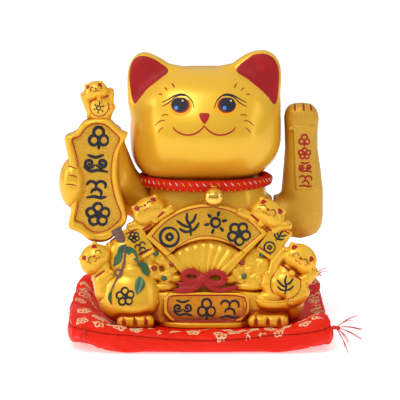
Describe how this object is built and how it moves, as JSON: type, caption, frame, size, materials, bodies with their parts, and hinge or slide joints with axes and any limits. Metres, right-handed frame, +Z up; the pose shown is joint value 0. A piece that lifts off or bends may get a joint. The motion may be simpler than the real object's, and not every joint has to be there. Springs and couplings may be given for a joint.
{
  "type": "lucky cat figurine",
  "caption": "Gold glazed ceramic lucky cat with a weighted waving arm, belled rope collar, scroll board and fan in relief, seated on a square tasselled brocade cushion.",
  "frame": {"origin": "centre of the cushion's flat underside, on the surface it stands on", "axes": "+Z up, the cat faces -Y, +X is the side of the waving arm"},
  "size_m": [0.2976, 0.2804, 0.2779],
  "materials": {
    "gold_glaze": "pearly gold glaze, darker in the recesses",
    "red_glaze": "glossy crimson",
    "ink_glaze": "near-black brush lines and eyes",
    "twig_glaze": "dull brown",
    "green_glaze": "glossy dark green",
    "bead_glaze": "glossy green and red drops",
    "flocked_gold": "fine sandy texture",
    "ivory_plastic": "as moulded",
    "bright_steel": "zinc plated",
    "weight_iron": "black lacquer",
    "magnet_nickel": "nickel plated",
    "bush_bronze": "sintered",
    "enamelled_wire": "enamelled copper",
    "board_laminate": "solder mask",
    "lead_sleeve": "satin",
    "cell_sleeve": "plain printed sleeve",
    "gold_plastic": "painted gold",
    "black_plastic": "satin",
    "red_rope": "braided satin cord with pale and yellow flecks",
    "gilt_brass": "bright gilt",
    "fibre_fill": "polyester fibre",
    "red_brocade": "satin brocade with a pale blossom pattern",
    "tassel_thread": "fine rayon threads"
  },
  "bodies": {
    "figure": {"torso_shell": "gold_glaze", "head_shell": "gold_glaze", "raised_arm": "gold_glaze", "scroll_board": "gold_glaze", "board_kitten": "gold_glaze", "fan_panel": "gold_glaze", "fan_pleats": "gold_glaze", "base_plaque": "gold_glaze", "base_plinth": "gold_glaze", "left_foot": "gold_glaze", "right_foot": "gold_glaze", "lucky_sack": "gold_glaze", "upper_left_kitten": "gold_glaze", "upper_right_kitten": "gold_glaze", "lower_left_kitten": "gold_glaze", "lower_right_kitten": "gold_glaze", "left_banner": "gold_glaze", "right_banner": "gold_glaze", "gold_ingot": "gold_glaze", "left_coins": "gold_glaze", "right_coins": "gold_glaze", "tail": "gold_glaze", "left_ear": "red_glaze", "right_ear": "red_glaze", "ribbon_bow": "red_glaze", "willow_branch": "green_glaze", "jewel_beads": "bead_glaze", "mechanism_frame": "ivory_plastic", "coil_bobbin": "ivory_plastic", "battery_box": "ivory_plastic", "contact_springs": "bright_steel", "contact_plates": "bright_steel", "frame_screws": "bright_steel", "cover_screws": "bright_steel", "axle_bushes": "bush_bronze", "drive_coil": "enamelled_wire", "circuit_board": "board_laminate", "coil_leads": "lead_sleeve", "battery_leads": "lead_sleeve", "battery_cells": "cell_sleeve", "back_cover": "gold_plastic", "collar_rope": "red_rope", "rope_crimp": "gilt_brass", "bell_ring": "gilt_brass", "cushion_filling": "fibre_fill", "cushion_cover": "red_brocade", "corner_tassels": "tassel_thread"},
    "waving_arm": {"arm_front_shell": "flocked_gold", "arm_rear_shell": "flocked_gold", "arm_hub": "ivory_plastic", "hub_screw": "bright_steel", "arm_axle": "bright_steel", "axle_clips": "bright_steel", "pendulum": "ivory_plastic", "counterweight": "weight_iron", "drive_magnet": "magnet_nickel"},
    "battery_door": {"battery_door": "gold_plastic"},
    "power_switch": {"switch_knob": "black_plastic"},
    "bell": {"bell_shells": "gilt_brass"},
    "clapper": {"bell_clapper": "bright_steel"}
  },
  "joints": [
    {"name": "arm_wave", "type": "hinge", "parent": "figure", "child": "waving_arm", "pos_m": [0.034, 0, 0.112], "axis": [1, 0, 0], "range_deg": [-18, 26]},
    {"name": "battery_door_hinge", "type": "hinge", "parent": "figure", "child": "battery_door", "pos_m": [-0.01, 0.0735, 0.0415], "axis": [-1, 0, 0], "range_deg": [0, 90]},
    {"name": "switch_slide", "type": "slide", "parent": "figure", "child": "power_switch", "axis": [1, 0, 0], "range_m": [0, 0.004]},
    {"name": "bell_swing", "type": "hinge", "parent": "figure", "child": "bell", "pos_m": [0.009, -0.06, 0.1505], "axis": [-1, 0, 0], "range_deg": [0, 45]},
    {"name": "clapper_rattle", "type": "slide", "parent": "bell", "child": "clapper", "axis": [0, 0, 1], "range_m": [0, 0.006]}
  ]
}
